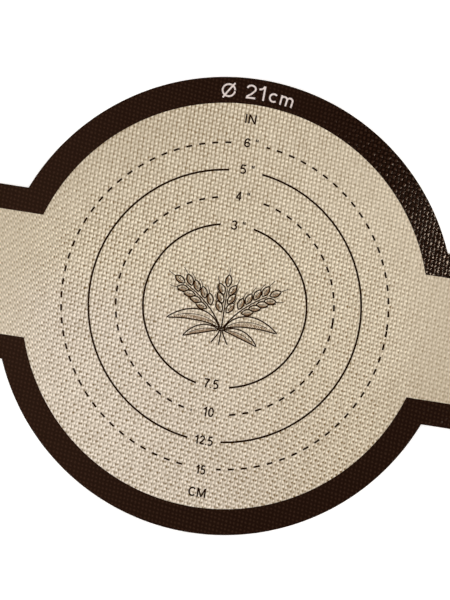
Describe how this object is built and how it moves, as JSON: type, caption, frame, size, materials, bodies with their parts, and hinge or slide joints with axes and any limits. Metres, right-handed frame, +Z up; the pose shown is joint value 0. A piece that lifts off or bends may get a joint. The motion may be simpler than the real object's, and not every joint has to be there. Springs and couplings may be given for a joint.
{
  "type": "silicone baking mat",
  "caption": "Round silicone baking mat with two long flexible carrying straps, a dark printed border and printed measuring rings, for lowering a loaf into a hot pot",
  "frame": {"origin": "centre of the round part, on the underside", "axes": "+X along the straps, +Y towards the rings' inch numerals, +Z up out of the printed face"},
  "size_m": [0.68, 0.21, 0.0008],
  "materials": {
    "silicone_coat": "satin, woven relief",
    "glass_cloth": "woven",
    "border_ink": "semi-gloss",
    "ring_ink": "satin"
  },
  "bodies": {
    "disc": {"disc_lower_coat": "silicone_coat", "disc_glass_cloth": "glass_cloth", "disc_upper_coat": "silicone_coat", "disc_border": "border_ink", "inner_ring": "ring_ink", "second_ring": "ring_ink", "third_ring": "ring_ink", "outer_ring": "ring_ink"},
    "right_strap_inner": {"right_strap_inner_lower_coat": "silicone_coat", "right_strap_inner_glass_cloth": "glass_cloth", "right_strap_inner_upper_coat": "silicone_coat", "right_strap_inner_border": "border_ink"},
    "right_strap_middle": {"right_strap_middle_lower_coat": "silicone_coat", "right_strap_middle_glass_cloth": "glass_cloth", "right_strap_middle_upper_coat": "silicone_coat", "right_strap_middle_border": "border_ink"},
    "right_strap_outer": {"right_strap_outer_lower_coat": "silicone_coat", "right_strap_outer_glass_cloth": "glass_cloth", "right_strap_outer_upper_coat": "silicone_coat", "right_strap_outer_border": "border_ink"},
    "left_strap_inner": {"left_strap_inner_lower_coat": "silicone_coat", "left_strap_inner_glass_cloth": "glass_cloth", "left_strap_inner_upper_coat": "silicone_coat", "left_strap_inner_border": "border_ink"},
    "left_strap_middle": {"left_strap_middle_lower_coat": "silicone_coat", "left_strap_middle_glass_cloth": "glass_cloth", "left_strap_middle_upper_coat": "silicone_coat", "left_strap_middle_border": "border_ink"},
    "left_strap_outer": {"left_strap_outer_lower_coat": "silicone_coat", "left_strap_outer_glass_cloth": "glass_cloth", "left_strap_outer_upper_coat": "silicone_coat", "left_strap_outer_border": "border_ink"}
  },
  "joints": [
    {"name": "right_strap_lift", "type": "hinge", "parent": "disc", "child": "right_strap_inner", "pos_m": [0.12201, 0, 0.00076], "axis": [0, -1, 0], "range_deg": [0, 45]},
    {"name": "right_strap_second_bend", "type": "hinge", "parent": "right_strap_inner", "child": "right_strap_middle", "pos_m": [0.16201, 0, 0.00076], "axis": [0, -1, 0], "range_deg": [0, 45]},
    {"name": "right_strap_third_bend", "type": "hinge", "parent": "right_strap_middle", "child": "right_strap_outer", "pos_m": [0.20201, 0, 0.00076], "axis": [0, -1, 0], "range_deg": [0, 45]},
    {"name": "left_strap_lift", "type": "hinge", "parent": "disc", "child": "left_strap_inner", "pos_m": [-0.12201, 0, 0.00076], "axis": [0, 1, 0], "range_deg": [0, 45]},
    {"name": "left_strap_second_bend", "type": "hinge", "parent": "left_strap_inner", "child": "left_strap_middle", "pos_m": [-0.16201, 0, 0.00076], "axis": [0, 1, 0], "range_deg": [0, 45]},
    {"name": "left_strap_third_bend", "type": "hinge", "parent": "left_strap_middle", "child": "left_strap_outer", "pos_m": [-0.20201, 0, 0.00076], "axis": [0, 1, 0], "range_deg": [0, 45]}
  ],
  "couplings": [
    {"joint": "right_strap_second_bend", "follows": "right_strap_lift", "ratio": 1},
    {"joint": "right_strap_third_bend", "follows": "right_strap_lift", "ratio": 1},
    {"joint": "left_strap_second_bend", "follows": "left_strap_lift", "ratio": 1},
    {"joint": "left_strap_third_bend", "follows": "left_strap_lift", "ratio": 1}
  ]
}
